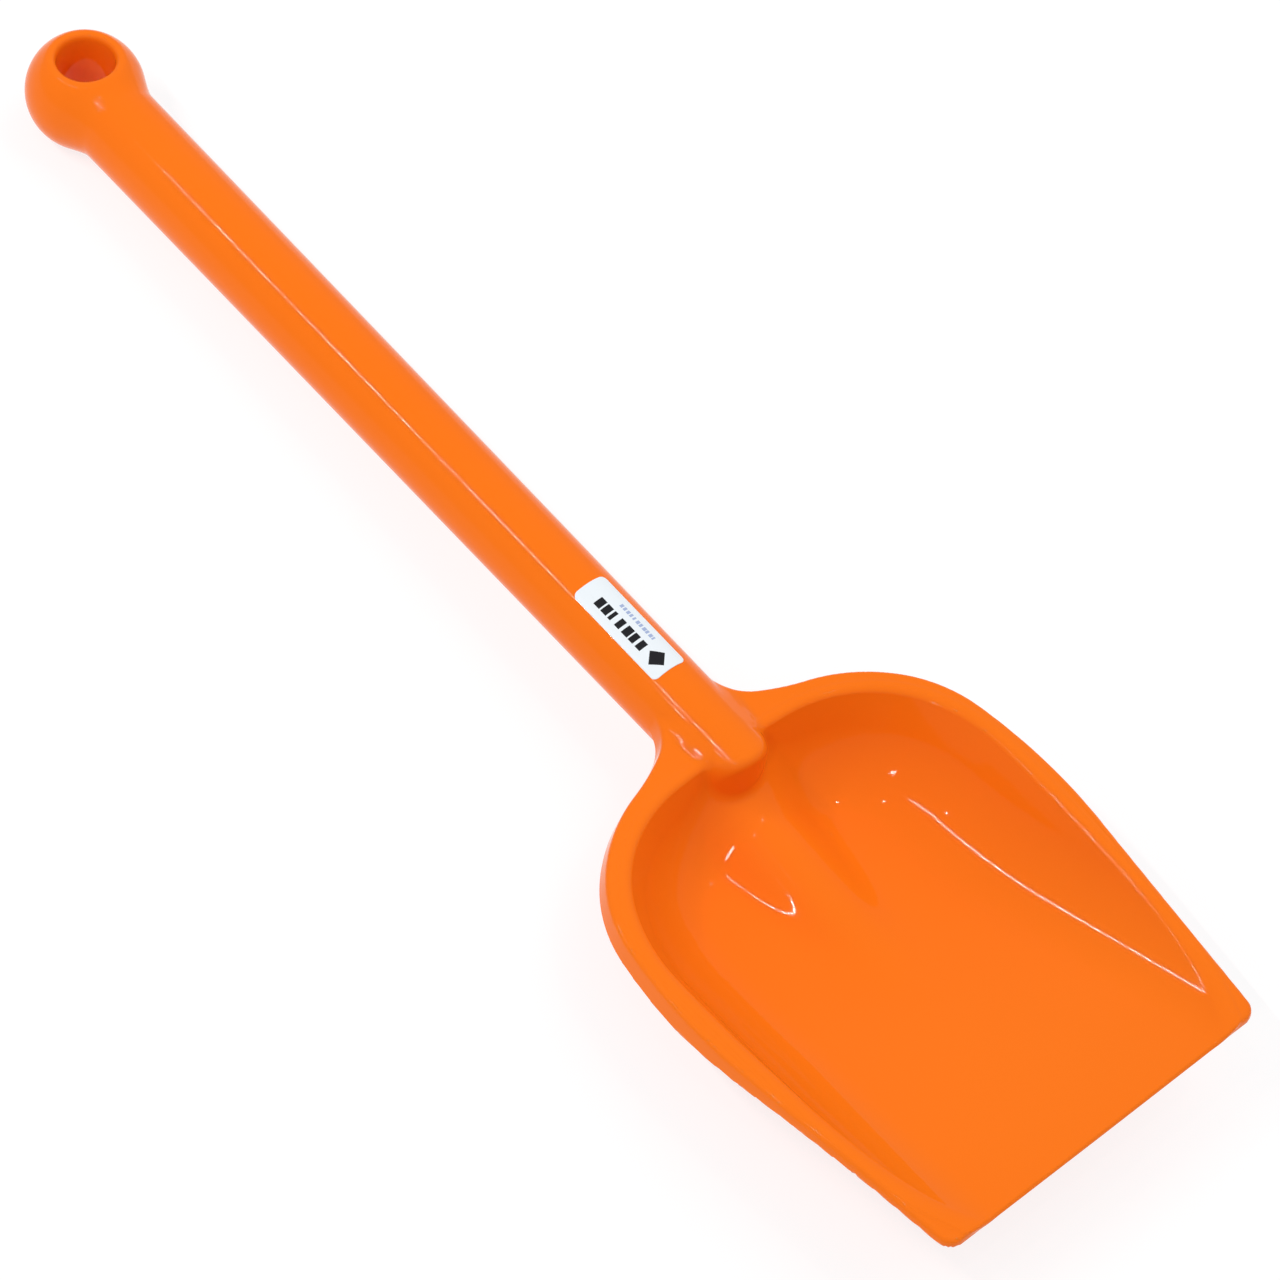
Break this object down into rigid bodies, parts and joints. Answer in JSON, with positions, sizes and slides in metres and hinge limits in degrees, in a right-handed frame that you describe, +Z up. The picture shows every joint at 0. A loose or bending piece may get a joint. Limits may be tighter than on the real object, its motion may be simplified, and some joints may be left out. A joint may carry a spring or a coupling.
{
  "type": "toy sand shovel",
  "caption": "Child's one-piece plastic sand shovel: ball-ended round handle with a hanging hole, flanged square-fronted scoop with a ridge, and a handle label.",
  "frame": {"origin": "centre of the bounding box's underside, on the floor that the shovel lies on", "axes": "+Z up; +X along the shovel from the knob to the front edge of the scoop; +Y across it, to the left of someone holding the handle"},
  "size_m": [0.4098, 0.1218, 0.0318],
  "materials": {
    "moulding": "glossy orange polypropylene",
    "label_film": "white printed film"
  },
  "bodies": {
    "root": {"end_knob": "moulding", "handle": "moulding", "neck": "moulding", "scoop_pan": "moulding", "scoop_rim_left": "moulding", "scoop_rim_right": "moulding", "label": "label_film"}
  },
  "joints": []
}
